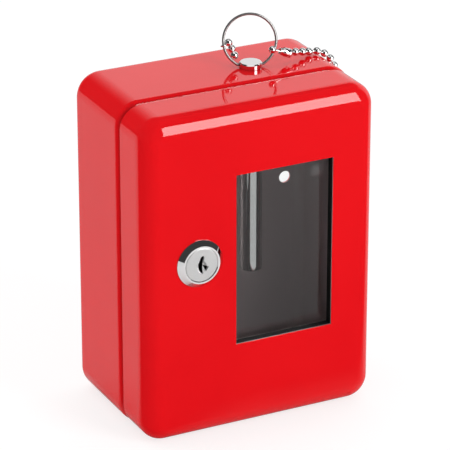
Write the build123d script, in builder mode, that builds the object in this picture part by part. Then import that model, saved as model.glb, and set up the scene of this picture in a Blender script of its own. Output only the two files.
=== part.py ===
from build123d import *
import os
from math import asin, atan2, cos, degrees, hypot, radians, sin, tan

# Break glass key box: a red sheet-steel case with a glazed and locked door. A striker stands in
# a closed tube under the top, beside the keys. A pull ring and a ball chain keep it on the case.
# Millimetres. X runs to the right, Z up, the wall is at Y = 0 and the door faces -Y.
# The origin lies on the wall plane, midway between the two wall-fixing holes.

# ---------- driving dimensions ----------
# case and door
box_width = 119.0
box_height = 160.0
box_depth = 75.0
hang_height = 88.0
sheet = 1.0
corner_radius = 11.6
front_edge_radius = 8.0
back_edge_radius = 6.0
rim_radius = 1.5
door_rim_radius = 0.6
door_inset = 0.5
door_depth = 24.9
seam_gap = 1.3
lip_width = 8.5
door_flange = 6.0
opening_radius = 3.5
wall_hole_radius = 3.0
wall_hole_spacing = 100.0

# strip hinge on the right, outside the seam
hinge_length = 100.0
knuckle_count = 5
knuckle_radius = 1.45
knuckle_gap = 0.3
hinge_bore_extra = 1.0
leaf_thickness = 0.5
leaf_reach_in = 7.5
barrel_standoff = 0.4
pin_radius = 0.9
pin_fit = 0.05
pin_head_radius = 1.3
pin_head_thickness = 0.6

# window
window_width = 49.5
window_height = 84.0
window_x = 11.85
window_z = -2.6
seal_setback = 0.4
seal_width = 5.6
seal_thickness = 4.6
seal_corner = 2.0
glass_margin = 4.6
glass_thickness = 2.0
frame_thickness = 1.0
frame_relief = 1.5
frame_side_margin = 6.4
frame_end_margin = 15.0
frame_corner = 3.0
stud_radius = 1.5
stud_length = 11.0
stud_edge = 5.0
stud_hole_fit = 0.15
nut_across_flats = 5.5
nut_height = 2.4
thread_fit = 0.03

# cam lock
lock_x = -31.4
lock_z = 0.0
bezel_radius = 11.4
bezel_face_radius = 9.15
bezel_height = 2.4
bezel_step = 0.4
barrel_radius = 9.5
barrel_flats = 17.2
barrel_length = 24.0
barrel_hole_fit = 0.1
lock_nut_across_flats = 22.0
lock_nut_height = 3.0
plug_radius = 8.05
plug_fit = 0.05
plug_recess = 0.15
plug_groove = 0.25
shoulder_radius = 7.0
keyway_height = 8.6
keyway_width = 1.5
keyway_shift = 1.1
keyway_depth = 19.0
wafer_count = 5
wafer_pitch = 3.2
wafer_thickness = 0.6
wafer_width = 7.0
wafer_height = 13.6
wafer_window_width = 4.0
wafer_window_height = 9.2
wafer_fit = 0.1
wafer_start = 4.0
cam_gap = 0.3
cam_thickness = 1.8
cam_length = 25.0
cam_width = 11.0
cam_square = 8.0
cam_fit = 0.05
washer_radius = 6.5
washer_thickness = 0.8
screw_radius = 2.0
screw_length = 8.0
screw_head_radius = 4.2
screw_head_height = 2.4
screw_slot_width = 1.0
screw_slot_depth = 1.2
thread_gap = 0.05

# striker and its guide tube
striker_x = 16.25
striker_reach = 31.5
head_radius = 5.35
head_height = 2.5
head_chamfer = 0.5
head_seat = 0.1
rod_radius = 4.1
rod_length = 98.0
rod_chamfer = 0.8
guide_fit = 0.1
guide_wall = 1.1
guide_length = 100.6
guide_floor = 1.0
guide_edge = 0.4
guide_flange_radius = 7.4
guide_flange_thickness = 1.0

# pull ring, turning in a hole across the head
ring_radius = 12.3
ring_wire_radius = 0.62
ring_lift = 10.8
ring_azimuth = -18.0
ring_lean = 16.0
ring_tip_bend = 0.7
ring_tip_depth = 2.2
ring_hole_fit = 0.08

# ball chain: from the ring it comes down to the top, over its edge and round a loop to the anchor
bead_radius = 1.85
bead_pitch = 4.4
link_radius = 0.45
chain_clearance = 0.2
chain_reach = 30.0
chain_drop = 42.0
loop_rise = 14.0
loop_share = 0.2
rest_share = 0.6
rest_lift = 1.3
rest_side = 0.6
land_share = 0.82
land_side = 0.4
arc_share = 0.45
connector_angle = -23.0
connector_run = (6.2, 0.0, -2.3)
connector_wire_radius = 0.35
connector_arm_bend = 0.5
connector_eye_half = 1.35
connector_eye_front = 2.5
connector_ball_radius = 1.7
connector_sleeve_start = 2.9
connector_sleeve_length = 5.4
connector_sleeve_radius = 2.25
connector_sleeve_wall = 0.3
connector_slot_width = 1.3
tail_angle = 187.0
tail_eye_radius = 1.25
tail_wire_radius = 0.35
tail_steps = ((2.6, 0.1, 0.9), (2.3, 1.2, -3.7), (-0.7, -4.0, -1.9))

# chain anchor on the right side of the case
anchor_y = -9.5
anchor_z = 34.0
anchor_width = 6.0
anchor_thickness = 0.6
anchor_height = 13.0
anchor_leg = 5.4
anchor_slot = 1.3
anchor_bend = 0.5
anchor_rivet_rise = 9.0
rivet_radius = 1.6
rivet_head_radius = 2.6
rivet_head_height = 1.2
rivet_head_round = 0.95
rivet_tail_radius = 2.4
rivet_tail_height = 1.0
rivet_fit = 0.05

# key hook inside, on the back wall
hook_x = 12.0
hook_z = 24.0
hook_foot_radius = 4.0
hook_foot_thickness = 1.0
hook_wire_radius = 1.1
hook_reach = 11.0
hook_rise = 6.0
hook_lean = 3.0
hook_bend = 3.0

# ---------- derived places ----------
box_bottom = -hang_height
box_top = box_height - hang_height
box_middle = (box_top + box_bottom) / 2
case_depth = box_depth - door_depth - seam_gap
door_back = box_depth - door_depth
door_width = box_width - 2 * door_inset
door_height = box_height - 2 * door_inset
skin_inside = box_depth - sheet
glass_front = skin_inside - seal_thickness
frame_front = glass_front - glass_thickness
frame_back = frame_front - frame_thickness
side_face = box_width / 2
rivet_z = anchor_z + anchor_rivet_rise


def reach(distance):
    """Upright plane that far in front of the wall: local x is X, local y is Z."""
    return Plane.XZ.offset(distance)


def pan(width, height, radius, start, depth):
    """Rounded block of the box's outline, from start to start + depth in front of the wall."""
    with BuildPart() as block:
        with BuildSketch(reach(start)):
            with Locations((0, box_middle)):
                RectangleRounded(width, height, radius)
        extrude(amount=depth)
    return block.part


os.makedirs("parts", exist_ok=True)
pieces = []

# ---------- case shell: a deep-drawn pan with its rim bent in to a lip ----------
with BuildPart() as case_core:
    add(pan(box_width - 2 * sheet, box_height - 2 * sheet, corner_radius - sheet, sheet,
            case_depth - 2 * sheet))
    fillet(case_core.edges().group_by(Axis.Y)[-1], back_edge_radius - sheet)
    fillet(case_core.edges().group_by(Axis.Y)[0], rim_radius - sheet)

guide_radius = rod_radius + guide_fit + guide_wall
with BuildPart() as case_shell:
    add(pan(box_width, box_height, corner_radius, 0, case_depth))
    fillet(case_shell.edges().group_by(Axis.Y)[-1], back_edge_radius)
    fillet(case_shell.edges().group_by(Axis.Y)[0], rim_radius)
    add(case_core.part, mode=Mode.SUBTRACT)
    with BuildSketch(reach(case_depth)):
        with Locations((0, box_middle)):
            RectangleRounded(box_width - 2 * lip_width, box_height - 2 * lip_width, opening_radius)
    extrude(amount=-2 * sheet, mode=Mode.SUBTRACT)
    with BuildSketch(reach(0)):
        with GridLocations(wall_hole_spacing, 1, 2, 1):
            Circle(wall_hole_radius)
    extrude(amount=2 * sheet, mode=Mode.SUBTRACT)
    with Locations((striker_x, -striker_reach, box_top)):
        Hole(guide_radius, depth=2 * sheet)
    with BuildSketch(Plane.YZ.offset(side_face)):
        with Locations((anchor_y, rivet_z)):
            Circle(rivet_radius + rivet_fit)
    extrude(amount=-2 * sheet, mode=Mode.SUBTRACT)
case_shell.part.label = "case_shell"
pieces.append(case_shell.part)

# ---------- door shell: a shallow pan with a large front edge and a returned rear flange ----------
with BuildPart() as door_core:
    add(pan(door_width - 2 * sheet, door_height - 2 * sheet, corner_radius - door_inset - sheet,
            door_back + sheet, door_depth - 2 * sheet))
    fillet(door_core.edges().group_by(Axis.Y)[0], front_edge_radius - sheet)

with BuildPart() as door_shell:
    add(pan(door_width, door_height, corner_radius - door_inset, door_back, door_depth))
    fillet(door_shell.edges().group_by(Axis.Y)[0], front_edge_radius)
    fillet(door_shell.edges().group_by(Axis.Y)[-1], door_rim_radius)
    add(door_core.part, mode=Mode.SUBTRACT)
    with BuildSketch(reach(door_back)):
        with Locations((0, box_middle)):
            RectangleRounded(door_width - 2 * door_flange, door_height - 2 * door_flange,
                             corner_radius - door_flange)
    extrude(amount=2 * sheet, mode=Mode.SUBTRACT)
    with BuildSketch(reach(box_depth)):
        with Locations((window_x, window_z)):
            Rectangle(window_width, window_height)
    extrude(amount=-2 * sheet, mode=Mode.SUBTRACT)
    with BuildSketch(reach(box_depth)):
        with Locations((lock_x, lock_z)):
            Circle(barrel_radius + barrel_hole_fit)
            Rectangle(2 * bezel_radius, barrel_flats + 2 * barrel_hole_fit, mode=Mode.INTERSECT)
    extrude(amount=-2 * sheet, mode=Mode.SUBTRACT)
door_shell.part.label = "door_shell"
pieces.append(door_shell.part)

# ---------- strip hinge: two leaves in the seam, rolled round one pin outside the wall ----------
hinge_x = side_face + barrel_standoff + knuckle_radius
hinge_y = -(case_depth + seam_gap / 2)
knuckle_pitch = hinge_length / knuckle_count
hinge_bottom = box_middle - hinge_length / 2
leaf_inner = side_face - leaf_reach_in
leaf_width = hinge_x - leaf_inner
leaf_middle = (hinge_x + leaf_inner) / 2


def knuckle_places(first):
    """Middles of every second knuckle, counted from the bottom of the strip."""
    return [(hinge_x, hinge_y, hinge_bottom + (i + 0.5) * knuckle_pitch)
            for i in range(first, knuckle_count, 2)]


with BuildPart() as hinge_case_leaf:
    with BuildSketch(reach(case_depth)):
        with Locations((leaf_middle, box_middle)):
            Rectangle(leaf_width, hinge_length)
    extrude(amount=leaf_thickness)
    with Locations(*knuckle_places(1)):
        Cylinder(knuckle_radius + knuckle_gap, knuckle_pitch + knuckle_gap, mode=Mode.SUBTRACT)
    with Locations(*knuckle_places(0)):
        Cylinder(knuckle_radius, knuckle_pitch - knuckle_gap)
    with Locations((hinge_x, hinge_y, box_middle)):
        Cylinder(pin_radius + pin_fit, hinge_length + hinge_bore_extra, mode=Mode.SUBTRACT)
hinge_case_leaf.part.label = "hinge_case_leaf"
pieces.append(hinge_case_leaf.part)

with BuildPart() as hinge_door_leaf:
    with BuildSketch(reach(door_back)):
        with Locations((leaf_middle, box_middle)):
            Rectangle(leaf_width, hinge_length)
    extrude(amount=-leaf_thickness)
    with Locations(*knuckle_places(0)):
        Cylinder(knuckle_radius + knuckle_gap, knuckle_pitch + knuckle_gap, mode=Mode.SUBTRACT)
    with Locations(*knuckle_places(1)):
        Cylinder(knuckle_radius, knuckle_pitch - knuckle_gap)
    with Locations((hinge_x, hinge_y, box_middle)):
        Cylinder(pin_radius + pin_fit, hinge_length + hinge_bore_extra, mode=Mode.SUBTRACT)
hinge_door_leaf.part.label = "hinge_door_leaf"
pieces.append(hinge_door_leaf.part)

pin_half = hinge_length / 2 + pin_head_thickness
with BuildPart() as hinge_pin:
    with Locations((hinge_x, hinge_y, box_middle)):
        Cylinder(pin_radius, 2 * pin_half)
    for side in (-1, 1):
        with Locations((hinge_x, hinge_y, box_middle + side * (pin_half - pin_head_thickness / 2))):
            Cylinder(pin_head_radius, pin_head_thickness)
hinge_pin.part.label = "hinge_pin"
pieces.append(hinge_pin.part)

# ---------- window: rubber seal, glass, retaining frame on four welded studs ----------
seal_inner = seal_setback
seal_outer = seal_setback + seal_width
with BuildPart() as window_seal:
    with BuildSketch(reach(skin_inside)):
        with Locations((window_x, window_z)):
            RectangleRounded(window_width + 2 * seal_outer, window_height + 2 * seal_outer, seal_corner)
            Rectangle(window_width + 2 * seal_inner, window_height + 2 * seal_inner, mode=Mode.SUBTRACT)
    extrude(amount=-seal_thickness)
window_seal.part.label = "window_seal"
pieces.append(window_seal.part)

with BuildPart() as glass_pane:
    with BuildSketch(reach(glass_front)):
        with Locations((window_x, window_z)):
            Rectangle(window_width + 2 * glass_margin, window_height + 2 * glass_margin)
    extrude(amount=-glass_thickness)
glass_pane.part.label = "glass_pane"
pieces.append(glass_pane.part)

frame_width = window_width + 2 * frame_side_margin
frame_height = window_height + 2 * frame_end_margin
stud_grid = GridLocations(frame_width - 2 * stud_edge, frame_height - 2 * stud_edge, 2, 2)
stud_places = [(window_x + place.position.X, window_z + place.position.Y) for place in stud_grid]
with BuildPart() as glass_frame:
    with BuildSketch(reach(frame_front)):
        with Locations((window_x, window_z)):
            RectangleRounded(frame_width, frame_height, frame_corner)
            Rectangle(window_width + 2 * frame_relief, window_height + 2 * frame_relief, mode=Mode.SUBTRACT)
        with Locations(*stud_places):
            Circle(stud_radius + stud_hole_fit, mode=Mode.SUBTRACT)
    extrude(amount=-frame_thickness)
glass_frame.part.label = "glass_frame"
pieces.append(glass_frame.part)

with BuildPart() as frame_studs:
    with BuildSketch(reach(skin_inside)):
        with Locations(*stud_places):
            Circle(stud_radius)
    extrude(amount=-stud_length)
frame_studs.part.label = "frame_studs"
pieces.append(frame_studs.part)

with BuildPart() as frame_nuts:
    with BuildSketch(reach(frame_back)):
        with Locations(*stud_places):
            RegularPolygon(nut_across_flats / 2, 6, major_radius=False)
            Circle(stud_radius + thread_fit, mode=Mode.SUBTRACT)
    extrude(amount=-nut_height)
frame_nuts.part.label = "frame_nuts"
pieces.append(frame_nuts.part)

# ---------- cam lock: housing, nut, plug with wafers, cam, washer and screw ----------
lock_axis = Axis((lock_x, 0, lock_z), (0, 1, 0))
lock_half_plane = Plane(origin=(lock_x, 0, lock_z), x_dir=(1, 0, 0), z_dir=(0, 0, 1))
bezel_front = box_depth + bezel_height
barrel_back = box_depth - barrel_length
bore_radius = plug_radius + plug_fit
plug_front = bezel_front - plug_recess
cam_front = case_depth - sheet - cam_gap
cam_back = cam_front - cam_thickness
washer_back = cam_back - washer_thickness

with BuildPart() as lock_housing:
    with BuildSketch(lock_half_plane):
        with BuildLine():
            Polyline(
                (bore_radius, -barrel_back),
                (bore_radius, -(bezel_front - plug_groove)),
                (bore_radius + plug_groove, -bezel_front),
                (bezel_face_radius, -bezel_front),
                (bezel_radius, -(box_depth + bezel_step)),
                (bezel_radius, -box_depth),
                (barrel_radius, -box_depth),
                (barrel_radius, -barrel_back),
                close=True,
            )
        make_face()
    revolve(axis=lock_axis)
    with BuildSketch(reach(barrel_back)):
        with Locations((lock_x, lock_z)):
            Rectangle(2 * bezel_radius, 2 * bezel_radius)
            Rectangle(2 * bezel_radius, barrel_flats, mode=Mode.SUBTRACT)
    extrude(amount=barrel_length, mode=Mode.SUBTRACT)
lock_housing.part.label = "lock_housing"
pieces.append(lock_housing.part)

with BuildPart() as lock_nut:
    with BuildSketch(reach(skin_inside)):
        with Locations((lock_x, lock_z)):
            RegularPolygon(lock_nut_across_flats / 2, 6, major_radius=False, rotation=30)
            Circle(barrel_radius + thread_fit, mode=Mode.SUBTRACT)
    extrude(amount=-lock_nut_height)
lock_nut.part.label = "lock_nut"
pieces.append(lock_nut.part)

wafer_reaches = [plug_front - wafer_start - i * wafer_pitch for i in range(wafer_count)]
with BuildPart() as lock_plug:
    with BuildSketch(reach(plug_front)):
        with Locations((lock_x, lock_z)):
            Circle(plug_radius)
    extrude(amount=-(plug_front - barrel_back))
    chamfer(lock_plug.edges().group_by(Axis.Y)[0], plug_groove)
    with BuildSketch(reach(barrel_back)):
        with Locations((lock_x, lock_z)):
            Circle(shoulder_radius)
    extrude(amount=-(barrel_back - cam_front))
    with BuildSketch(reach(cam_front)):
        with Locations((lock_x, lock_z)):
            Rectangle(cam_square, cam_square)
    extrude(amount=-cam_thickness)
    with BuildSketch(Plane(origin=(lock_x, -plug_front, lock_z), x_dir=(1, 0, 0), z_dir=(0, -1, 0))):
        with BuildLine():
            Polyline(
                (-keyway_width / 2 - keyway_shift / 2, keyway_height / 2),
                (keyway_width / 2 - keyway_shift / 2, keyway_height / 2),
                (keyway_width / 2 - keyway_shift / 2, keyway_height / 6),
                (keyway_width / 2 + keyway_shift / 2, 0),
                (keyway_width / 2 + keyway_shift / 2, -keyway_height / 2),
                (-keyway_width / 2 + keyway_shift / 2, -keyway_height / 2),
                (-keyway_width / 2 + keyway_shift / 2, -keyway_height / 6),
                (-keyway_width / 2 - keyway_shift / 2, 0),
                close=True,
            )
        make_face()
    extrude(amount=-keyway_depth, mode=Mode.SUBTRACT)
    for wafer_reach in wafer_reaches:
        with BuildSketch(reach(wafer_reach + wafer_fit)):
            with Locations((lock_x, lock_z)):
                Rectangle(wafer_width + 2 * wafer_fit, wafer_height + 2 * wafer_fit)
        extrude(amount=-(wafer_thickness + 2 * wafer_fit), mode=Mode.SUBTRACT)
    with BuildSketch(reach(cam_back)):
        with Locations((lock_x, lock_z)):
            Circle(screw_radius + thread_gap)
    extrude(amount=screw_length, mode=Mode.SUBTRACT)
lock_plug.part.label = "lock_plug"
pieces.append(lock_plug.part)

with BuildPart() as lock_wafers:
    for wafer_reach in wafer_reaches:
        with BuildSketch(reach(wafer_reach)):
            with Locations((lock_x, lock_z - wafer_fit)):
                Rectangle(wafer_width, wafer_height)
                Rectangle(wafer_window_width, wafer_window_height, mode=Mode.SUBTRACT)
        extrude(amount=-wafer_thickness)
lock_wafers.part.label = "lock_wafers"
pieces.append(lock_wafers.part)

with BuildPart() as lock_cam:
    with BuildSketch(reach(cam_front)):
        with Locations((lock_x, lock_z)):
            Circle(shoulder_radius)
        with Locations((lock_x, lock_z - (cam_length - cam_width / 2) / 2)):
            Rectangle(cam_width, cam_length - cam_width / 2)
        with Locations((lock_x, lock_z - cam_length + cam_width / 2)):
            Circle(cam_width / 2)
        with Locations((lock_x, lock_z)):
            Rectangle(cam_square + 2 * cam_fit, cam_square + 2 * cam_fit, mode=Mode.SUBTRACT)
    extrude(amount=-cam_thickness)
lock_cam.part.label = "lock_cam"
pieces.append(lock_cam.part)

with BuildPart() as cam_washer:
    with BuildSketch(reach(cam_back)):
        with Locations((lock_x, lock_z)):
            Circle(washer_radius)
            Circle(screw_radius + 2 * thread_gap, mode=Mode.SUBTRACT)
    extrude(amount=-washer_thickness)
cam_washer.part.label = "cam_washer"
pieces.append(cam_washer.part)

with BuildPart() as cam_screw:
    with BuildSketch(reach(washer_back)):
        with Locations((lock_x, lock_z)):
            Circle(screw_head_radius)
    extrude(amount=-screw_head_height)
    fillet(cam_screw.edges().group_by(Axis.Y)[-1], screw_head_height / 2)
    with BuildSketch(reach(washer_back)):
        with Locations((lock_x, lock_z)):
            Circle(screw_radius)
    extrude(amount=washer_thickness + screw_length - thread_gap)
    with BuildSketch(reach(washer_back - screw_head_height)):
        with Locations((lock_x, lock_z)):
            Rectangle(2 * screw_head_radius, screw_slot_width)
    extrude(amount=screw_slot_depth, mode=Mode.SUBTRACT)
cam_screw.part.label = "cam_screw"
pieces.append(cam_screw.part)

# ---------- striker: a disc head on a rod, standing in a closed tube under the top ----------
head_bottom = box_top + head_seat
head_top = head_bottom + head_height
pivot = Vector(striker_x, -striker_reach, (head_bottom + head_top) / 2)
ring_across = Vector(cos(radians(ring_azimuth)), sin(radians(ring_azimuth)), 0)
ring_back = Vector(-ring_across.Y, ring_across.X, 0)
ring_up = ring_back * sin(radians(ring_lean)) + Vector(0, 0, cos(radians(ring_lean)))

with BuildPart() as breaking_striker:
    with BuildSketch(Plane.XY.offset(head_bottom)):
        with Locations((striker_x, -striker_reach)):
            Circle(head_radius)
    extrude(amount=head_height)
    chamfer(breaking_striker.edges().group_by(Axis.Z)[-1], head_chamfer)
    with BuildSketch(Plane.XY.offset(head_bottom)):
        with Locations((striker_x, -striker_reach)):
            Circle(rod_radius)
    extrude(amount=-rod_length)
    chamfer(breaking_striker.edges().group_by(Axis.Z)[0], rod_chamfer)
    with BuildSketch(Plane(origin=pivot, z_dir=ring_across)):
        Circle(ring_wire_radius + ring_hole_fit)
    extrude(amount=2 * head_radius, both=True, mode=Mode.SUBTRACT)
breaking_striker.part.label = "breaking_striker"
pieces.append(breaking_striker.part)

with BuildPart() as striker_guide:
    with BuildSketch(Plane.XY.offset(box_top)):
        with Locations((striker_x, -striker_reach)):
            Circle(guide_radius)
    extrude(amount=-guide_length)
    with BuildSketch(Plane.XY.offset(box_top - sheet)):
        with Locations((striker_x, -striker_reach)):
            Circle(guide_flange_radius)
    extrude(amount=-guide_flange_thickness)
    fillet(striker_guide.edges().group_by(Axis.Z)[0], guide_edge)
    with Locations((striker_x, -striker_reach, box_top)):
        Hole(rod_radius + guide_fit, depth=guide_length - guide_floor)
striker_guide.part.label = "striker_guide"
pieces.append(striker_guide.part)

# ---------- pull ring: an open wire ring whose bent tips turn in the head's cross hole ----------
ring_plane = Plane(origin=pivot, x_dir=ring_across, z_dir=ring_across.cross(ring_up))
ring_corner_x = head_radius + ring_tip_bend
corner_distance = hypot(ring_corner_x, ring_lift)
tangent_turn = degrees(asin(ring_radius / corner_distance))
corner_bearing = degrees(atan2(-ring_lift, ring_corner_x))
tangent_angle = corner_bearing + 90 - tangent_turn
tangent_point = (ring_radius * cos(radians(tangent_angle)),
                 ring_lift + ring_radius * sin(radians(tangent_angle)))
tip_x = head_radius - ring_tip_depth
with BuildPart() as pull_ring:
    with BuildLine(ring_plane) as ring_line:
        CenterArc((0, ring_lift), ring_radius, tangent_angle, 180 - 2 * tangent_angle)
        for side in (1, -1):
            FilletPolyline(
                (side * tangent_point[0], tangent_point[1]),
                (side * ring_corner_x, 0),
                (side * tip_x, 0),
                radius=ring_tip_bend,
            )
    ring_start = ring_line.wires()[0] @ 0
    ring_heading = ring_line.wires()[0] % 0
    with BuildSketch(Plane(origin=ring_start, z_dir=ring_heading)):
        Circle(ring_wire_radius)
    sweep(path=ring_line.wires()[0])
pull_ring.part.label = "pull_ring"
pieces.append(pull_ring.part)


def on_ring(angle):
    """Point on the ring's middle line, at an angle from its right-hand end."""
    return ring_plane.from_local_coords(
        Vector(ring_radius * cos(radians(angle)), ring_lift + ring_radius * sin(radians(angle)), 0))


def ring_tangent(angle):
    return ring_across * -sin(radians(angle)) + ring_up * cos(radians(angle))


# ---------- chain connector: a wire eye round the ring, closed by a ball, in a slotted sleeve ----------
ring_grip = on_ring(connector_angle)
connector_heading = Vector(*connector_run).normalized()
ring_heading_there = ring_tangent(connector_angle)
eye_normal = ring_heading_there - connector_heading * connector_heading.dot(ring_heading_there)
connector_plane = Plane(origin=ring_grip, x_dir=connector_heading, z_dir=eye_normal.normalized())
sleeve_end = connector_sleeve_start + connector_sleeve_length
with BuildPart() as connector_shape:
    for side in (1, -1):
        with BuildLine() as arm_line:
            FilletPolyline(
                (-connector_eye_front, 0),
                (-connector_eye_front / 2, side * connector_eye_half),
                (connector_sleeve_start / 2, side * connector_eye_half),
                (connector_sleeve_start + connector_sleeve_wall,
                 side * (connector_sleeve_radius - connector_wire_radius)),
                radius=connector_arm_bend,
            )
        with BuildSketch(Plane(origin=arm_line.line @ 0, z_dir=arm_line.line % 0)):
            Circle(connector_wire_radius)
        sweep(path=arm_line.line)
    with Locations((-connector_eye_front, 0)):
        Sphere(connector_ball_radius)
    with BuildSketch(Plane.YZ.offset(connector_sleeve_start)):
        Circle(connector_sleeve_radius)
        Circle(connector_sleeve_radius - connector_sleeve_wall, mode=Mode.SUBTRACT)
    extrude(amount=connector_sleeve_length)
    with BuildSketch():
        with Locations((connector_sleeve_start + connector_sleeve_length / 2, 0)):
            Rectangle(connector_sleeve_length - 2 * connector_sleeve_wall, connector_slot_width)
    extrude(amount=2 * connector_sleeve_radius, mode=Mode.SUBTRACT)

with BuildPart() as chain_connector:
    add(connector_shape.part.moved(connector_plane.location))
chain_connector.part.label = "chain_connector"
pieces.append(chain_connector.part)

# ---------- ball chain: over the top's rounded right edge, down the side and up to its anchor ----------
clear_top = box_top + bead_radius + chain_clearance
clear_side = side_face + bead_radius + chain_clearance
wrap_radius = corner_radius + bead_radius + chain_clearance
anchor_slot_x = side_face + anchor_thickness + bead_radius + chain_clearance
chain_y = -chain_reach
loop_bottom = anchor_z - chain_drop
loop_step = loop_share * (anchor_y - chain_y)
chain_start = connector_plane.from_local_coords(Vector(sleeve_end - bead_radius, 0, 0))
wrap_start = Vector(clear_side - wrap_radius, chain_y, clear_top)


def lying(share, side, lift):
    """Point that share of the way from the connector to the edge, moved to one side and lifted."""
    along = chain_start + (wrap_start - chain_start) * share
    return Vector(along.X, along.Y + side, clear_top + lift)


chain_points = [
    chain_start,
    lying(rest_share, -rest_side, rest_lift),
    lying(land_share, land_side, 0),
    Vector(clear_side, chain_y, clear_top),
    Vector(clear_side, chain_y, loop_bottom + loop_rise),
    Vector(clear_side, chain_y + loop_step, loop_bottom),
    Vector(clear_side, anchor_y - loop_step, loop_bottom),
    Vector(clear_side, anchor_y, loop_bottom + loop_rise),
    Vector(anchor_slot_x, anchor_y, anchor_z - bead_pitch),
    Vector(anchor_slot_x, anchor_y, anchor_z + anchor_thickness + bead_radius),
]
wrap_corner = 3


def largest_arc(i):
    """Largest radius at corner i that its runs allow. The box's edge sets its own."""
    if i == wrap_corner:
        return wrap_radius
    before = chain_points[i] - chain_points[i - 1]
    after = chain_points[i + 1] - chain_points[i]
    half_turn = radians(before.get_angle(after)) / 2
    spare = [before.length - (wrap_radius if i - 1 == wrap_corner else 0),
             after.length - (wrap_radius if i + 1 == wrap_corner else 0)]
    return arc_share * min(spare) / tan(half_turn)


chain_radii = [largest_arc(i) for i in range(1, len(chain_points) - 1)]
with BuildPart() as ball_chain:
    with BuildLine() as chain_route:
        FilletPolyline(*chain_points, radius=chain_radii)
    chain_length = chain_route.wires()[0].length
    bead_count = int(chain_length / bead_pitch)
    with BuildSketch(Plane(origin=chain_route.wires()[0] @ 0, z_dir=chain_route.wires()[0] % 0)):
        Circle(link_radius)
    sweep(path=chain_route.wires()[0])
    bead_places = [chain_route.wires()[0] @ (1 - i * bead_pitch / chain_length)
                   for i in range(bead_count + 1)]
    with Locations(*bead_places):
        Sphere(bead_radius)
ball_chain.part.label = "ball_chain"
pieces.append(ball_chain.part)
print("chain length", round(chain_length, 1), "beads", bead_count + 1,
      "arc radii", [round(radius, 1) for radius in chain_radii])

# ---------- chain tail: a short end of three beads hung on the ring's left side ----------
tail_grip = on_ring(tail_angle)
tail_beads = []
for step in tail_steps:
    tail_beads.append((tail_beads[-1] if tail_beads else tail_grip) + Vector(*step))
tail_heading = (tail_beads[0] - tail_grip).normalized()
tail_normal = (ring_tangent(tail_angle)
               - tail_heading * tail_heading.dot(ring_tangent(tail_angle))).normalized()
with BuildPart() as chain_tail:
    with BuildLine(Plane(origin=tail_grip, x_dir=tail_heading, z_dir=tail_normal)) as tail_eye:
        CenterArc((0, 0), tail_eye_radius, 0, 360)
    with BuildSketch(Plane(origin=tail_eye.line @ 0, z_dir=tail_eye.line % 0)):
        Circle(tail_wire_radius)
    sweep(path=tail_eye.line)
    tail_route = [tail_eye.line @ 0] + tail_beads
    for start, end in zip(tail_route, tail_route[1:]):
        with BuildSketch(Plane(origin=start, z_dir=end - start)):
            Circle(tail_wire_radius)
        extrude(amount=(end - start).length)
    with Locations(*tail_beads):
        Sphere(bead_radius)
chain_tail.part.label = "chain_tail"
pieces.append(chain_tail.part)

# ---------- chain anchor: a bent tab with a fork under the last bead, riveted to the side ----------
with BuildPart() as chain_anchor:
    with BuildSketch(Plane.YZ.offset(side_face)):
        with Locations((anchor_y, anchor_z + anchor_height / 2)):
            Rectangle(anchor_width, anchor_height)
    extrude(amount=anchor_thickness)
    with BuildSketch(Plane.XY.offset(anchor_z)):
        with Locations((side_face + anchor_leg / 2, anchor_y)):
            Rectangle(anchor_leg, anchor_width)
    extrude(amount=anchor_thickness)
    fillet(chain_anchor.edges().filter_by(Axis.Y).group_by(Axis.Z)[0].sort_by(Axis.X)[0], anchor_bend)
    fillet(chain_anchor.edges().filter_by(Axis.Z).sort_by(Axis.X)[-2:], anchor_thickness)
    with BuildSketch(Plane.XY.offset(anchor_z)):
        with Locations((anchor_slot_x, anchor_y)):
            Circle(anchor_slot / 2)
        with Locations((anchor_slot_x + anchor_leg / 2, anchor_y)):
            Rectangle(anchor_leg, anchor_slot)
    extrude(amount=anchor_thickness, mode=Mode.SUBTRACT)
    with BuildSketch(Plane.YZ.offset(side_face)):
        with Locations((anchor_y, rivet_z)):
            Circle(rivet_radius + rivet_fit)
    extrude(amount=anchor_thickness, mode=Mode.SUBTRACT)
chain_anchor.part.label = "chain_anchor"
pieces.append(chain_anchor.part)

with BuildPart() as anchor_rivet:
    with BuildSketch(Plane.YZ.offset(side_face + anchor_thickness)):
        with Locations((anchor_y, rivet_z)):
            Circle(rivet_head_radius)
    extrude(amount=rivet_head_height)
    fillet(anchor_rivet.edges().group_by(Axis.X)[-1], rivet_head_round)
    with BuildSketch(Plane.YZ.offset(side_face + anchor_thickness)):
        with Locations((anchor_y, rivet_z)):
            Circle(rivet_radius)
    extrude(amount=-(anchor_thickness + sheet))
    with BuildSketch(Plane.YZ.offset(side_face - sheet)):
        with Locations((anchor_y, rivet_z)):
            Circle(rivet_tail_radius)
    extrude(amount=-rivet_tail_height)
anchor_rivet.part.label = "anchor_rivet"
pieces.append(anchor_rivet.part)

# ---------- key hook: a bent wire welded by its foot to the inside of the back wall ----------
with BuildPart() as key_hook:
    with BuildSketch(reach(sheet)):
        with Locations((hook_x, hook_z)):
            Circle(hook_foot_radius)
    extrude(amount=hook_foot_thickness)
    with BuildLine() as hook_line:
        FilletPolyline(
            (hook_x, -sheet, hook_z),
            (hook_x, -(sheet + hook_reach), hook_z),
            (hook_x, -(sheet + hook_reach + hook_lean), hook_z + hook_rise),
            radius=hook_bend,
        )
    with BuildSketch(reach(sheet)):
        with Locations((hook_x, hook_z)):
            Circle(hook_wire_radius)
    sweep(path=hook_line.wires()[0])
key_hook.part.label = "key_hook"
pieces.append(key_hook.part)

for piece in pieces:
    export_step(piece, f"parts/{piece.label}.step")
print(len(pieces), "pieces written")
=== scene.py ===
import math

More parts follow.
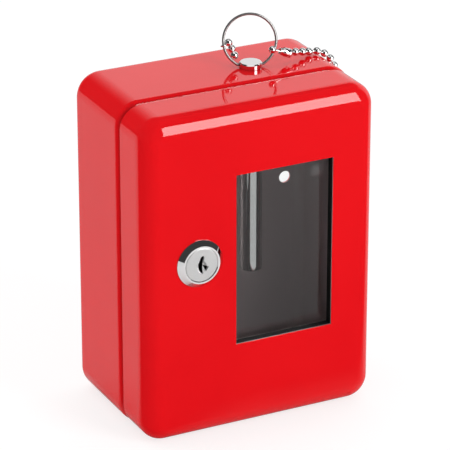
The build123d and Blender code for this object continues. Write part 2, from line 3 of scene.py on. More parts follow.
import bmesh
import bpy
import numpy as np
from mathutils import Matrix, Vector


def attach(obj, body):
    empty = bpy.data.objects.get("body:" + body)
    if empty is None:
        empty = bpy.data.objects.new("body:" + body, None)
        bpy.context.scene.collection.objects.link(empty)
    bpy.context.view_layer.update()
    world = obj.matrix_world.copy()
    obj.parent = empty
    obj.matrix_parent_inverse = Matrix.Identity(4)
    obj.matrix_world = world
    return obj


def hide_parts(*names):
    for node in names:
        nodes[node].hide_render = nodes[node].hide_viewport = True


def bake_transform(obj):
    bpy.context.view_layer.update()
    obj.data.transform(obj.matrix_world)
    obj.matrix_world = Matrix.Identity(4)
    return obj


# Break glass key box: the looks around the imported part. Metres, same frame as the part:
# X right, wall at y = 0, door towards -Y, origin midway between the two wall holes.
# The sizes in a piece's settings are in millimetres.

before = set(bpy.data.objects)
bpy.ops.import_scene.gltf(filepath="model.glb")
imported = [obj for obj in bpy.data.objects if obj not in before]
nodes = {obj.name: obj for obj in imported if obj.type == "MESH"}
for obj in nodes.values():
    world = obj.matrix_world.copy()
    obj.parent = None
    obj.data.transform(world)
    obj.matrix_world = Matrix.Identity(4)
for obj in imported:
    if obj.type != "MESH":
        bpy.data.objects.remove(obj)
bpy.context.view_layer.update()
print("frame loaded", len(nodes), "nodes")

mm = 0.001

# camera: in front of the box, to its left and above; its distance is in metres
cameraView = {"azimuth": -26.55, "elevation": 23.44, "target": (-18.67, -75, 16.41), "distance": 1.37976,
              "lens": 245.04, "sensor": 36, "clip": (0.05, 50)}


def directionFrom(azimuth, elevation):
    # unit vector from the object: azimuth 0 is straight in front, positive to the right
    a, e = math.radians(azimuth), math.radians(elevation)
    return Vector((math.sin(a) * math.cos(e), -math.cos(a) * math.cos(e), math.sin(e)))


def makeCamera(view):
    data = bpy.data.cameras.new("camera")
    data.lens, data.sensor_width = view["lens"], view["sensor"]
    data.clip_start, data.clip_end = view["clip"]
    camera = bpy.data.objects.new("camera", data)
    bpy.context.scene.collection.objects.link(camera)
    back = directionFrom(view["azimuth"], view["elevation"])
    camera.location = Vector(np.array(view["target"]) * mm) + back * view["distance"]
    camera.rotation_mode = "QUATERNION"
    camera.rotation_quaternion = (-back).to_track_quat("-Z", "Y")
    bpy.context.scene.camera = camera


makeCamera(cameraView)
print("camera done")


class Wire:
    # wraps a shader socket, so that an expression on values adds its Math nodes
    def __init__(self, graph, socket):
        self.graph, self.socket = graph, socket

    def maths(self, operation, first, second=None):
        values = {0: first} if second is None else {0: first, 1: second}
        return self.graph.make("ShaderNodeMath", {"operation": operation}, values)["Value"]

    def __add__(self, other):
        return self.maths("ADD", self, other)

    def __radd__(self, other):
        return self.maths("ADD", other, self)

    def __sub__(self, other):
        return self.maths("SUBTRACT", self, other)

    def __rsub__(self, other):
        return self.maths("SUBTRACT", other, self)

    def __mul__(self, other):
        return self.maths("MULTIPLY", self, other)

    def __rmul__(self, other):
        return self.maths("MULTIPLY", other, self)

    def __truediv__(self, other):
        return self.maths("DIVIDE", self, other)

    def __rtruediv__(self, other):
        return self.maths("DIVIDE", other, self)

    def __pow__(self, other):
        return self.maths("POWER", self, other)

    def __rpow__(self, other):
        return self.maths("POWER", other, self)

    def __abs__(self):
        return self.maths("ABSOLUTE", self)

    def atLeast(self, limit):
        return self.maths("MAXIMUM", self, limit)

    def below(self, limit):
        return self.maths("LESS_THAN", self, limit)

    def above(self, limit):
        return self.maths("GREATER_THAN", self, limit)


class Made:
    # a new node: its outputs by name, as wires
    def __init__(self, graph, node):
        self.graph, self.node = graph, node

    def __getitem__(self, name):
        return Wire(self.graph, self.node.outputs[name])


class Graph:
    def __init__(self, tree):
        self.tree = tree
        tree.nodes.clear()

    def make(self, kind, settings=None, values=None):
        # one node of that kind: settings first, then what its sockets hold or are linked to
        node = self.tree.nodes.new(kind)
        for name, value in (settings or {}).items():
            setattr(node, name, value)
        for name, value in (values or {}).items():
            self.feed(node.inputs[name], value)
        return Made(self, node)

    def feed(self, socket, value):
        if isinstance(value, Wire):
            self.tree.links.new(value.socket, socket)
        elif isinstance(value, (tuple, list)) and socket.type == "RGBA" and len(value) == 3:
            socket.default_value = (*value, 1)
        else:
            socket.default_value = value

    def mixColour(self, factor, first, second):
        # a Mix node's colour sockets share their names with others, so they go by number
        return self.make("ShaderNodeMix", {"data_type": "RGBA"}, {0: factor, 6: first, 7: second})[2]

    def smooth(self, value, low, high):
        # 0 below low, 1 above high, an S curve between
        return self.make("ShaderNodeMapRange", {"interpolation_type": "SMOOTHSTEP"},
                         {"Value": value, "From Min": low, "From Max": high})["Result"]

    def noise(self, coordinates, scale, detail=2.0, roughness=0.5):
        return self.make("ShaderNodeTexNoise", None, {"Vector": coordinates, "Scale": scale,
                                                      "Detail": detail, "Roughness": roughness})["Fac"]

    def bump(self, height, strength, distance):
        return self.make("ShaderNodeBump", None,
                         {"Height": height, "Strength": strength, "Distance": distance})["Normal"]

    def axes(self, place):
        split = self.make("ShaderNodeSeparateXYZ", None, {"Vector": place})
        return split["X"], split["Y"], split["Z"]

    def surface(self, **values):
        # a Principled surface; a socket's name is written with _ for each space
        return self.make("ShaderNodeBsdfPrincipled", None,
                         {name.replace("_", " "): value for name, value in values.items()})["BSDF"]


def newMaterial(name, build, *settings):
    material = bpy.data.materials.new(name)
    material.use_nodes = True
    graph = Graph(material.node_tree)
    place = graph.make("ShaderNodeTexCoord")["Object"]
    graph.make("ShaderNodeOutputMaterial", None, {"Surface": build(graph, place, *settings)})
    return material


def grey(level):
    return (level, level, level)


# sizes that the materials share with the pieces
# a shell: half sizes and corner radius of its outline, and the y at which it ends towards the wall and
# towards the front, with the radius of its round there
caseForm = {"halfWidth": 59.5, "halfHeight": 80.0, "corner": 11.6, "back": 0.0, "backRound": 6.0,
            "front": -48.8, "frontRound": 3.0}
doorForm = {"halfWidth": 59.0, "halfHeight": 79.5, "corner": 11.1, "back": -50.1, "backRound": 0.6,
            "front": -75.0, "frontRound": 8.0}
box = {"middle": -8.0, "bottom": -88.0, "sheet": 1.0, "seam": (-50.25, -48.65), "plugFace": -77.25}

# finishes: a cloud or grain is the scale and detail of a noise, and rough is the least roughness with what
# the noise adds to it
paint = {"red": (0.79, 0.0065, 0.0105), "deepRed": (0.74, 0.005, 0.009),
         # the seam's colour is painted shade, nearly black, for the gap between the two shells
         "undercoat": (0.02, 0.001, 0.001), "grey": (0.405, 0.33, 0.335), "deepGrey": (0.36, 0.292, 0.298),
         "cloud": (14, 3), "patches": (0.2, 0.6), "roughness": 0.045, "haze": 0.02, "hazeCloud": (60, 2),
         "insideHaze": 0.12, "ior": 1.5, "peel": (420, 2, 0.45), "peelStrength": 0.25, "peelHeight": 1.5e-6}
rubber = {"tones": ((0.0015, 0.0015, 0.0017), (0.003, 0.003, 0.0033)), "cloud": (40, 2),
          "grain": (2500, 3), "rough": (0.55, 0.2), "ior": 1.25, "bump": (0.3, 1e-5)}
glass = {"tint": (0.97, 0.985, 0.98), "smear": (35, 4), "rough": (0.004, 0.008), "ior": 1.5,
         "shadowTint": (0.92, 0.94, 0.93)}
# the keyway's colour is painted shade, nearly black, deep in the slot
nickel = {"tones": ((0.84, 0.835, 0.83), (0.97, 0.965, 0.96)), "grease": (0.03, 0.028, 0.026),
          "greased": (0.8, 1.5),  # depths under the plug's face between which the painted keyway shade sets in
          "grain": (1800, 3), "metallic": 0.75, "rough": (0.4, 0.08), "bump": (0.25, 1e-5)}
# plain finishes: the cloud mixes the two tones, and a ripple has a scale, a strength and a height in metres
plainFinishes = {
    "greyPaint": {"cloud": (30, 3), "tones": (paint["deepGrey"], paint["grey"]), "metallic": 0.0,
                  "rough": (0.2, 0.1), "ripple": (1100, 0.3, 6e-6)},
    "tubeSteel": {"cloud": (30, 3), "tones": (grey(0.50), grey(0.58)), "metallic": 1.0,
                  "rough": (0.03, 0.02), "ripple": (500, 0.2, 4e-6)},
    "chromePlate": {"cloud": (220, 4), "tones": ((0.62, 0.61, 0.61), (0.72, 0.715, 0.71)),
                    "metallic": 1.0, "rough": (0.05, 0.06), "ripple": (700, 0.2, 3e-6)},
    "polishedChrome": {"cloud": (220, 4), "tones": ((0.74, 0.74, 0.745), grey(0.84)), "metallic": 1.0,
                       "rough": (0.0, 0.0), "ripple": (300, 0.2, 4e-6)},
    "ringSteel": {"cloud": (260, 4), "tones": ((0.30, 0.295, 0.29), (0.42, 0.41, 0.405)),
                  "metallic": 0.85, "rough": (0.26, 0.06), "ripple": (600, 0.2, 4e-6)},
    "zincSteel": {"cloud": (320, 3), "tones": ((0.42, 0.43, 0.45), (0.6, 0.61, 0.62)), "metallic": 1.0,
                  "rough": (0.28, 0.15), "ripple": (2000, 0.3, 1e-5)},
    "stampedBrass": {"cloud": (260, 3), "tones": ((0.52, 0.36, 0.14), (0.75, 0.58, 0.26)),
                     "metallic": 1.0, "rough": (0.25, 0.2), "ripple": None},
}


def plainFinish(graph, place, look):
    # colour and gloss drift with one cloud, and a fine ripple bends the light; polished chrome keeps a
    # roughness of exactly 0, by which floor and surroundings know its rays
    cloud = graph.noise(place, *look["cloud"])
    least, added = look["rough"]
    values = {"Base_Color": graph.mixColour(cloud, *look["tones"]), "Metallic": look["metallic"],
              "Roughness": least + added * cloud if added else least}
    if look["ripple"]:
        scale, strength, height = look["ripple"]
        values["Normal"] = graph.bump(graph.noise(place, scale), strength, height)
    return graph.surface(**values)


def enamelled(graph, place, colour, haze=0.0):
    # baked enamel: orange peel, and a faint cloud in the gloss
    cloud = paint["haze"] * graph.noise(place, *paint["hazeCloud"])
    peel = graph.noise(place, *paint["peel"])
    return graph.surface(Base_Color=colour, Roughness=paint["roughness"] + haze + cloud, IOR=paint["ior"],
                         Normal=graph.bump(peel, paint["peelStrength"], paint["peelHeight"]))


def redPaint(graph, place):
    cloud = graph.noise(place, *paint["cloud"])
    faint = graph.mixColour(cloud, paint["deepRed"], paint["red"])
    patches = graph.smooth(cloud, *paint["patches"])
    return enamelled(graph, place, graph.mixColour(patches, faint, paint["red"]))


def insideShell(graph, place, form):
    # 1 on a shell's inner skin, half a sheet or more below its outer one: under the rounded outline, and
    # there also under the rounds of its two ends
    x, y, z = graph.axes(place)
    corner = form["corner"] * mm
    across = (abs(x) - (form["halfWidth"] * mm - corner)).atLeast(0.0)
    along = (abs(z - box["middle"] * mm) - (form["halfHeight"] * mm - corner)).atLeast(0.0)
    outline = (across * across + along * along) ** 0.5 - corner
    mask = 1.0
    for end, way in (("back", 1), ("front", -1)):
        radius = form[end + "Round"] * mm
        rim = (outline + radius).atLeast(0.0)
        reach = (way * (y - form[end] * mm) + radius).atLeast(0.0)
        depth = (rim * rim + reach * reach) ** 0.5 - radius
        mask = depth.below(-0.5 * box["sheet"] * mm) * mask
    return mask


def shellPaint(graph, place, form):
    # red outside, grey inside, and painted shade, nearly black, in the seam between the two shells
    inside = insideShell(graph, place, form)
    _, y, _ = graph.axes(place)
    seamStart, seamEnd = box["seam"]
    # painted shade on the faces in the seam between the shells
    seam = y.above(seamStart * mm) * y.below(seamEnd * mm)
    cloud = graph.noise(place, *paint["cloud"])
    red = graph.mixColour(graph.smooth(cloud, *paint["patches"]), paint["deepRed"], paint["red"])
    dull = graph.mixColour(cloud, paint["deepGrey"], paint["grey"])
    skin = graph.mixColour(inside, graph.mixColour(seam, red, paint["undercoat"]), dull)
    return enamelled(graph, place, skin, paint["insideHaze"] * inside)


def blackRubber(graph, place):
    grain = graph.noise(place, *rubber["grain"])
    least, added = rubber["rough"]
    colour = graph.mixColour(graph.noise(place, *rubber["cloud"]), *rubber["tones"])
    return graph.surface(Base_Color=colour, Roughness=least + added * grain, IOR=rubber["ior"],
                         Normal=graph.bump(grain, *rubber["bump"]))


def clearGlass(graph, place):
    # clear glass that lets the lamps' light straight through to the inside
    least, added = glass["rough"]
    smear = graph.noise(place, *glass["smear"])
    solid = graph.surface(Base_Color=glass["tint"], Roughness=least + added * smear, IOR=glass["ior"],
                          Transmission_Weight=1.0)
    bare = graph.make("ShaderNodeBsdfTransparent", None, {"Color": glass["shadowTint"]})["BSDF"]
    lamp = graph.make("ShaderNodeLightPath")["Is Shadow Ray"]
    return graph.make("ShaderNodeMixShader", None, {0: lamp, 1: solid, 2: bare})["Shader"]


def satinNickel(graph, place):
    # the plug: matt plating with a fine grain, and painted shade, nearly black, down in the keyway
    grain = graph.noise(place, *nickel["grain"])
    least, added = nickel["rough"]
    _, y, _ = graph.axes(place)
    start, end = (box["plugFace"] + depth for depth in nickel["greased"])
    # painted shade: darker with depth in the keyway
    deep = graph.smooth(y, start * mm, end * mm)
    colour = graph.mixColour(deep, graph.mixColour(grain, *nickel["tones"]), nickel["grease"])
    return graph.surface(Base_Color=colour, Metallic=nickel["metallic"], Roughness=least + added * grain,
                         Normal=graph.bump(grain, *nickel["bump"]))


recipes = {"redPaint": (redPaint,), "casePaint": (shellPaint, caseForm), "doorPaint": (shellPaint, doorForm),
           "blackRubber": (blackRubber,), "clearGlass": (clearGlass,), "satinNickel": (satinNickel,),
           **{name: (plainFinish, look) for name, look in plainFinishes.items()}}
materials = {name: newMaterial(name, *recipe) for name, recipe in recipes.items()}

nodeFinish = {
    "case_shell": "casePaint", "door_shell": "doorPaint", "hinge_case_leaf": "redPaint",
    "hinge_door_leaf": "redPaint", "hinge_pin": "zincSteel", "window_seal": "blackRubber",
    "glass_pane": "clearGlass", "glass_frame": "greyPaint", "frame_studs": "zincSteel",
    "frame_nuts": "zincSteel", "lock_housing": "polishedChrome", "lock_nut": "zincSteel",
    "lock_plug": "satinNickel", "lock_wafers": "stampedBrass", "lock_cam": "zincSteel",
    "cam_washer": "zincSteel", "cam_screw": "zincSteel", "breaking_striker": "polishedChrome",
    "striker_guide": "tubeSteel", "pull_ring": "ringSteel", "chain_connector": "chromePlate",
    "ball_chain": "chromePlate", "chain_tail": "chromePlate", "chain_anchor": "redPaint",
    "anchor_rivet": "zincSteel", "key_hook": "zincSteel",
}
for name, finish in nodeFinish.items():
    mesh = nodes[name].data
    mesh.materials.clear()
    mesh.materials.append(materials[finish])
print("materials done")


def closedMesh(name, grid, finish="polishedChrome", weld=1e-7, sliver=1e-8):
    # a skin over a grid of points, closed round its second direction, its first and last rows
    # drawn together; doubles are merged and the faces turned outwards
    rows, columns = grid.shape[:2]
    r, c = np.meshgrid(np.arange(rows - 1), np.arange(columns), indexing="ij")
    nextColumn = (c + 1) % columns
    quads = np.stack([r * columns + c, r * columns + nextColumn, (r + 1) * columns + nextColumn,
                      (r + 1) * columns + c], axis=-1).reshape(-1, 4)
    mesh = bpy.data.meshes.new(name)
    mesh.from_pydata(grid.reshape(-1, 3).tolist(), [], quads.tolist())
    work = bmesh.new()
    work.from_mesh(mesh)
    bmesh.ops.remove_doubles(work, verts=work.verts, dist=weld)
    bmesh.ops.dissolve_degenerate(work, edges=work.edges, dist=sliver)
    bmesh.ops.recalc_face_normals(work, faces=work.faces)
    work.to_mesh(mesh)
    work.free()
    mesh.polygons.foreach_set("use_smooth", [True] * len(mesh.polygons))
    mesh.materials.append(materials[finish])
    piece = bpy.data.objects.new(name, mesh)
    bpy.context.scene.collection.objects.link(piece)
    return piece


def unit(vectors):
    return vectors / np.linalg.norm(vectors, axis=-1, keepdims=True)


def fullTurn(steps):
    return np.linspace(0, 2 * np.pi, steps, endpoint=False)


def turned(centre, axis, heights, radii, around=20):
    # a body of revolution: each profile point (height along the axis, radius) carried round it, on two
    # unit vectors square to the axis; the helper is any direction well away from the axis
    axis = unit(axis)
    helper = np.array([0, 0, 1.0]) if abs(axis[2]) < 0.9 else np.array([1.0, 0, 0])
    first = unit(np.cross(axis, helper))
    second = np.cross(axis, first)
    angle = fullTurn(around)[:, None]
    ring = np.cos(angle) * first + np.sin(angle) * second
    return centre + heights[:, None, None] * axis + radii[:, None, None] * ring


def sweptWire(points, normal, radius, around=10, cap=0.5):
    # a round wire along a flat path: its section stands on the path's normal and its side; the ends close
    # in points that stand out by a share of the radius
    along = unit(np.gradient(points, axis=0))
    side = unit(np.cross(normal, along))
    angle = fullTurn(around)[None, :, None]
    section = np.cos(angle) * side[:, None, :] + np.sin(angle) * normal
    skin = points[:, None, :] + radius * section
    first = np.repeat((points[0] - along[0] * radius * cap)[None, None, :], around, axis=1)
    last = np.repeat((points[-1] + along[-1] * radius * cap)[None, None, :], around, axis=1)
    return np.concatenate([first, skin, last])


def inDepth(x, y, z):
    # points of a flat outline in x and z, all at one y
    return np.stack([x, np.full(len(x), y), z], axis=1)


def sCurve(t):
    return t * t * (3 - 2 * t)


def halved(low, high, tooLow, halvings=60):
    # the value at which tooLow stops being true, found by halving
    for _ in range(halvings):
        middle = (low + high) / 2
        low, high = (middle, high) if tooLow(middle) else (low, middle)
    return (low + high) / 2


def followWeight(weight):
    # how far between a blend's start and end a point has that weight
    return halved(0.0, 1.0, lambda t: sCurve(t) < weight)


reach = Vector((0, 0, 10))


def followStriker(piece, centre, weight):
    # the whole piece: its point in the striker's travel is worked out from its share, and its transform is
    # baked into its mesh
    t = followWeight(weight)
    Vector(centre) - reach * t
    Vector(centre) + reach * (1 - t)
    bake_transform(piece)


def turnWithRing(piece, centre, weight):
    # the whole piece: its point in the ring's swing is worked out from its share, and its transform is baked
    # into its mesh
    t = followWeight(weight)
    Vector(centre) - reach * t
    Vector(centre) + reach * (1 - t)
    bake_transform(piece)


# chain: beads and links in place of the plain CAD ones
chain = {
    # the route's corners and the radius of each, from the connector to the anchor
    "corners": ((33.576, -33.427, 76.868), (42.17, -31.971, 75.35), (45.322, -30.217, 74.05),
                (61.55, -30.0, 74.05), (61.55, -30.0, 6.0), (61.55, -25.9, -8.0), (61.55, -13.6, -8.0),
                (61.55, -9.5, 6.0), (62.15, -9.5, 29.6), (62.15, -9.5, 36.45)),
    "radii": (9.19, 3.785, 13.65, 45.773, 7.388, 7.388, 45.594, 242.529),
    "bead": 1.85, "pitch": 4.4, "hole": 0.62, "dimple": 0.16, "dimpleReach": 1.5, "lift": 100,
    # a link: its radius with that of each profile point as a share, how many dimples deep it enters a
    # bead, the share of that way at which its head ends, and its points round
    "link": 0.45, "linkProfile": (0, 1.15, 1.1, 1.0, 1.1, 1.15, 0), "seat": 1.2, "head": 0.8,
    "linkAround": 10,
    # links whose ends' shares of the travel differ by less than this are handed to followStriker whole
    "together": 1e-5,
}


def bendRoute(corners, radii, samples=24):
    # straight runs joined by arcs: at a corner an arc of its radius touches both runs, and its points
    # turn from one run's direction to the other's at equal angles
    places = [corners[0]]
    for i, radius in enumerate(radii, start=1):
        before, after = unit(corners[i] - corners[i - 1]), unit(corners[i + 1] - corners[i])
        turn = math.acos(float(np.clip(before @ after, -1, 1)))
        across = unit(after - before * (before @ after))
        start = corners[i] - before * radius * math.tan(turn / 2)
        angles = np.linspace(0, turn, samples)[:, None]
        places.extend(start + before * radius * np.sin(angles) + across * radius * (1 - np.cos(angles)))
    places.append(corners[-1])
    return np.array(places)


def placesFromEnd(route, pitch):
    # points on the route at equal steps back from its far end, given from its near end
    steps = np.linalg.norm(np.diff(route, axis=0), axis=1)
    reached = np.concatenate([[0], np.cumsum(steps)])
    count = int(reached[-1] / pitch)
    wanted = reached[-1] - pitch * np.arange(count, -1, -1)
    return np.stack([np.interp(wanted, reached, column) for column in route.T], axis=1)


def beadProfile(steps=18):
    # a sphere's half circle, drawn in by the dimple towards its two holes with an S curve
    radius, hole, dimple = (chain[key] * mm for key in ("bead", "hole", "dimple"))
    angle = np.linspace(0, np.pi, steps)
    sink = dimple * sCurve(np.clip(1 - radius * np.sin(angle) / (hole * chain["dimpleReach"]), 0, 1))
    return -(radius - sink) * np.cos(angle), radius * np.sin(angle)


def drawnWeights(places, lift):
    # how far each bead rises when the striker is drawn out: from the anchor each step keeps its sideways
    # run and climbs, all steps as long as each other, until the first bead has risen by the whole lift
    across = np.linalg.norm(np.diff(places[:, :2], axis=0), axis=1)
    rise = places[0, 2] + lift - places[-1, 2]
    longest = float(across.max())

    def climbs(step):
        return np.sqrt(np.maximum(step * step - across * across, 0))

    climb = climbs(halved(longest, longest + lift, lambda step: climbs(step).sum() < rise))
    heights = places[-1, 2] + np.concatenate([np.cumsum(climb[::-1])[::-1], [0]])
    return np.clip((heights - places[:, 2]) / lift, 0, 1)


def makeChain():
    route = bendRoute(np.array(chain["corners"]) * mm, [radius * mm for radius in chain["radii"]])
    places = placesFromEnd(route, chain["pitch"] * mm)
    weights = drawnWeights(places, chain["lift"] * mm)
    directions = np.gradient(places, axis=0)
    for i, (place, direction, weight) in enumerate(zip(places, directions, weights)):
        bead = closedMesh(f"chainBead{i + 1:02d}", turned(place, direction, *beadProfile()))
        followStriker(bead, place, float(weight))
        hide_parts("ball_chain")
    inset = (chain["bead"] - chain["seat"] * chain["dimple"]) * mm
    head = inset * chain["head"]
    radii = chain["link"] * mm * np.array(chain["linkProfile"])
    ts = [followWeight(float(weight)) for weight in weights]
    for i, (start, end) in enumerate(zip(places, places[1:])):
        run = end - start
        span = float(np.linalg.norm(run))
        heights = np.array([head, head, inset, span / 2, span - inset, span - head, span - head])
        link = closedMesh(f"chainLink{i + 1:02d}", turned(start, run, heights, radii, chain["linkAround"]))
        change = ts[i + 1] - ts[i]
        if abs(change) < chain["together"]:
            followStriker(link, start, float(weights[i]))
        else:
            base = start - run * ts[i] / change
            base + run / change
            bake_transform(link)
        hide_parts("ball_chain")
    print("chain done", len(places), "beads, weights", round(float(weights.min()), 2),
          round(float(weights.max()), 2))


makeChain()

# connector: ball and two arms on the ring's wire, and a bell in two halves for the first bead
connector = {
    # where it grips the wire, and the unit vectors along it, across it and up from it
    "grip": (27.529, -33.427, 79.112), "run": (0.937566, 0.0, -0.347807),
    "side": (-0.042209, 0.992609, -0.113781), "upright": (0.345236, 0.121358, 0.930636),
    # places along it and across it; the arms leave the ball close together and bend apart
    "ball": 1.7, "ballAt": (-2.1, -1.6), "ballRows": 16, "ballAround": 24,
    "wire": 0.4, "armGap": 0.35, "eyeHalf": 1.3, "armBend": 0.36, "armEase": 1.2, "armSteps": 22,
    "armInBell": 0.8,
    "bellStart": 2.9, "bellEnd": 8.3, "bellNeck": 1.45, "bellMouth": 2.2, "bellWall": 0.28,
    "flare": 0.6, "roll": 0.12, "rollAt": 0.97, "rollWidth": 0.05, "slotAngle": 20,
    "bellRows": 15, "bellAround": 17,
}
connectorAxes = [np.array(connector[key]) for key in ("grip", "run", "side", "upright")]


def localPoints(flat):
    # points given along the connector's run and across it, in millimetres, put into the part's frame
    grip, run, side, _ = connectorAxes
    flat = np.asarray(flat, float)
    return (grip + flat[:, :1] * run + flat[:, 1:2] * side) * mm


def armPath(way):
    # from the ball's middle to the bell's neck: across it, a quarter sine wave raised to a power
    ballX, ballY = connector["ballAt"]
    t = np.linspace(0, 1, connector["armSteps"])
    x = ballX + t * (connector["bellStart"] + connector["armInBell"] - ballX)
    start = ballY + connector["armGap"] * way
    ease = np.sin(np.pi / 2 * np.clip(t / connector["armBend"], 0, 1)) ** connector["armEase"]
    return localPoints(np.stack([x, start + (way * connector["eyeHalf"] - start) * ease], 1))


def bellHalf(turn):
    # half of the bell: a profile that opens from neck to mouth with an S curve and a rolled edge, carried
    # over a part turn round the connector's run; outer skin one way and inner skin back make a closed loop
    grip, run, side, upright = connectorAxes
    around = connector["bellAround"]
    t = np.linspace(0, 1, connector["bellRows"])
    along = connector["bellStart"] + t * (connector["bellEnd"] - connector["bellStart"])
    neck, mouth = connector["bellNeck"], connector["bellMouth"]
    outer = neck + (mouth - neck) * sCurve(np.clip(t / connector["flare"], 0, 1))
    outer = outer + connector["roll"] * np.exp(-((t - connector["rollAt"]) / connector["rollWidth"]) ** 2)
    inner = outer - connector["bellWall"]
    gap = math.radians(connector["slotAngle"])
    angles = np.linspace(gap, np.pi - gap, around) + turn
    angles = np.concatenate([angles, angles[::-1]])[:, None]
    radii = np.concatenate([np.repeat(skin[:, None], around, 1) for skin in (outer, inner)], axis=1)
    middle = np.repeat(((outer + inner) / 2)[:, None], 2 * around, 1)
    rows = np.concatenate([middle[:1], radii, middle[-1:]])
    places = np.concatenate([along[:1], along, along[-1:]])
    ring = np.cos(angles) * upright + np.sin(angles) * side
    return (grip + places[:, None, None] * run + rows[:, :, None] * ring) * mm


def makeConnector():
    _, run, _, upright = connectorAxes
    eye = Vector(localPoints([(0, 0)])[0])
    sleeve = Vector(localPoints([(connector["bellEnd"], 0)])[0])
    pieces = [closedMesh(name, sweptWire(armPath(way), upright, connector["wire"] * mm))
              for name, way in (("connectorArmFront", -1), ("connectorArmBack", 1))]
    angle = np.linspace(0, np.pi, connector["ballRows"])
    radius = connector["ball"] * mm
    ball = turned(localPoints([connector["ballAt"]])[0], run, -radius * np.cos(angle),
                  radius * np.sin(angle), connector["ballAround"])
    pieces.append(closedMesh("connectorBall", ball))
    for name, turn in (("connectorBellBack", 0), ("connectorBellFront", np.pi)):
        pieces.append(closedMesh(name, bellHalf(turn)))
    for piece in pieces:
        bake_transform(piece)
        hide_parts("chain_connector")


makeConnector()

# tail: an eye on the ring's other side and three beads
tail = {"grip": (5.431, -25.289, 82.291), "normal": (0.3223, -0.300399, -0.89771),
        "beads": ((8.031, -25.189, 83.191), (10.331, -23.989, 79.491), (9.631, -27.989, 77.591)),
        "eye": 1.25, "eyeSteps": 28, "wire": 0.35, "linkProfile": (0, 1.1, 1.0, 1.1, 0),
        "linkStart": 0.3, "linkEnd": 0.75,
        # the share of the ring's swing given for the eye and each bead
        "turnsWithRing": (1.0, 0.9, 0.6, 0.6)}


def makeTail():
    grip, normal = np.array(tail["grip"]) * mm, np.array(tail["normal"])
    places = np.array(tail["beads"]) * mm
    heading = unit(places[0] - grip)
    beside = np.cross(normal, heading)
    angle = np.linspace(0, 2 * np.pi, tail["eyeSteps"])[:, None]
    loop = grip + tail["eye"] * mm * (np.cos(angle) * heading + np.sin(angle) * beside)
    weights = tail["turnsWithRing"]
    eye = closedMesh("tailEye", sweptWire(loop, normal, tail["wire"] * mm))
    turnWithRing(eye, grip, weights[0])
    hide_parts("chain_tail")
    radii = tail["wire"] * mm * np.array(tail["linkProfile"])
    starts = np.concatenate([[grip + tail["eye"] * mm * heading], places])
    for i, (start, place) in enumerate(zip(starts, places)):
        run = place - start
        bead = closedMesh(f"tailBead{i + 1}", turned(place, run, *beadProfile()))
        turnWithRing(bead, place, weights[i + 1])
        shares = np.array([0.0 if i == 0 else tail["linkStart"]] * 2 + [0.5] + [tail["linkEnd"]] * 2)
        link = closedMesh(f"tailLink{i + 1}", turned(start, run, shares * float(np.linalg.norm(run)), radii,
                                                     chain["linkAround"]))
        turnWithRing(link, place, (weights[i] + weights[i + 1]) / 2)
        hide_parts("chain_tail")
        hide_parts("chain_tail")


makeTail()
print("connector and tail done")


# lock plug: its own face, with a curved keyway, a dished edge round it and a side groove
plug = {"x": -31.4, "z": 0.0, "front": box["plugFace"], "barrelBack": -51.0, "seatBack": -47.5,
        "back": -45.7, "radius": 8.05, "seat": 7.0, "square": 4.0, "edge": 0.3, "faceShare": 0.8,
        "around": 96,
        # keyway: half height, depth, and the numbers of keyOutline's formulas
        "keyHalf": 4.4, "keyDepth": 19.0, "keyBend": (-0.42, 0.055, 0.0447), "keyWidth": 1.08,
        "keyTaper": 0.013, "keyWidest": 1.4, "keySquare": 8, "keyEnd": 0.04, "keySteps": 25,
        # dish round the keyway and groove beside it, both measured from the plug's middle
        "dishAt": (-0.1, -0.9), "dishRadius": 3.0, "dishFloor": 1.9, "dishDepth": 0.75, "dishOval": 0.85,
        "dishAround": 48, "groove": ((0.5, -0.1), (3.5, -1.2), (2.2, -3.4)), "grooveDepth": 2.6,
        "ahead": 1.0}  # how far ahead of the face its cutters start


def prism(name, outline, front, back):
    # a flat outline in x and z carried straight back in y, its two ends drawn to their middles
    outline = np.asarray(outline, float)
    point = np.repeat(outline.mean(axis=0)[None], len(outline), 0)
    rows = ((point, front), (outline, front), (outline, back), (point, back))
    return closedMesh(name, np.stack([inDepth(row[:, 0], y, row[:, 1]) for row, y in rows]) * mm,
                      "satinNickel")


def carve(body, cutters, crease=32, weight=80):
    # exact difference: the body less its cutters, kept as its own mesh; flat faces stay flat
    for cutter in cutters:
        work = body.modifiers.new("cut", "BOOLEAN")
        work.operation, work.solver, work.object = "DIFFERENCE", "EXACT", cutter
    bpy.context.view_layer.update()
    mesh = bpy.data.meshes.new_from_object(body.evaluated_get(bpy.context.evaluated_depsgraph_get()))
    body.modifiers.clear()
    body.data = mesh
    for cutter in cutters:
        bpy.data.objects.remove(cutter, do_unlink=True)
    mesh.polygons.foreach_set("use_smooth", [True] * len(mesh.polygons))
    mesh.set_sharp_from_angle(angle=math.radians(crease))
    weighted = body.modifiers.new("evenShade", "WEIGHTED_NORMAL")
    weighted.keep_sharp, weighted.weight = True, weight


def keyOutline():
    # the slot's two sides: its middle line bends as a parabola in height, its half width shrinks with the
    # square of the height from its widest place, and a high power rounds its ends
    z = np.linspace(plug["keyHalf"], -plug["keyHalf"], plug["keySteps"])
    shift, lean, bend = plug["keyBend"]
    middle = shift + lean * z + bend * z * z
    half = plug["keyWidth"] - plug["keyTaper"] * (z - plug["keyWidest"]) ** 2
    rounded = 1 - (np.abs(z) / plug["keyHalf"]) ** plug["keySquare"]
    half = half * np.sqrt(np.clip(rounded, plug["keyEnd"], 1))
    return [(plug["x"] + middle + way * half, plug["z"] + z) for way in (1, -1)]


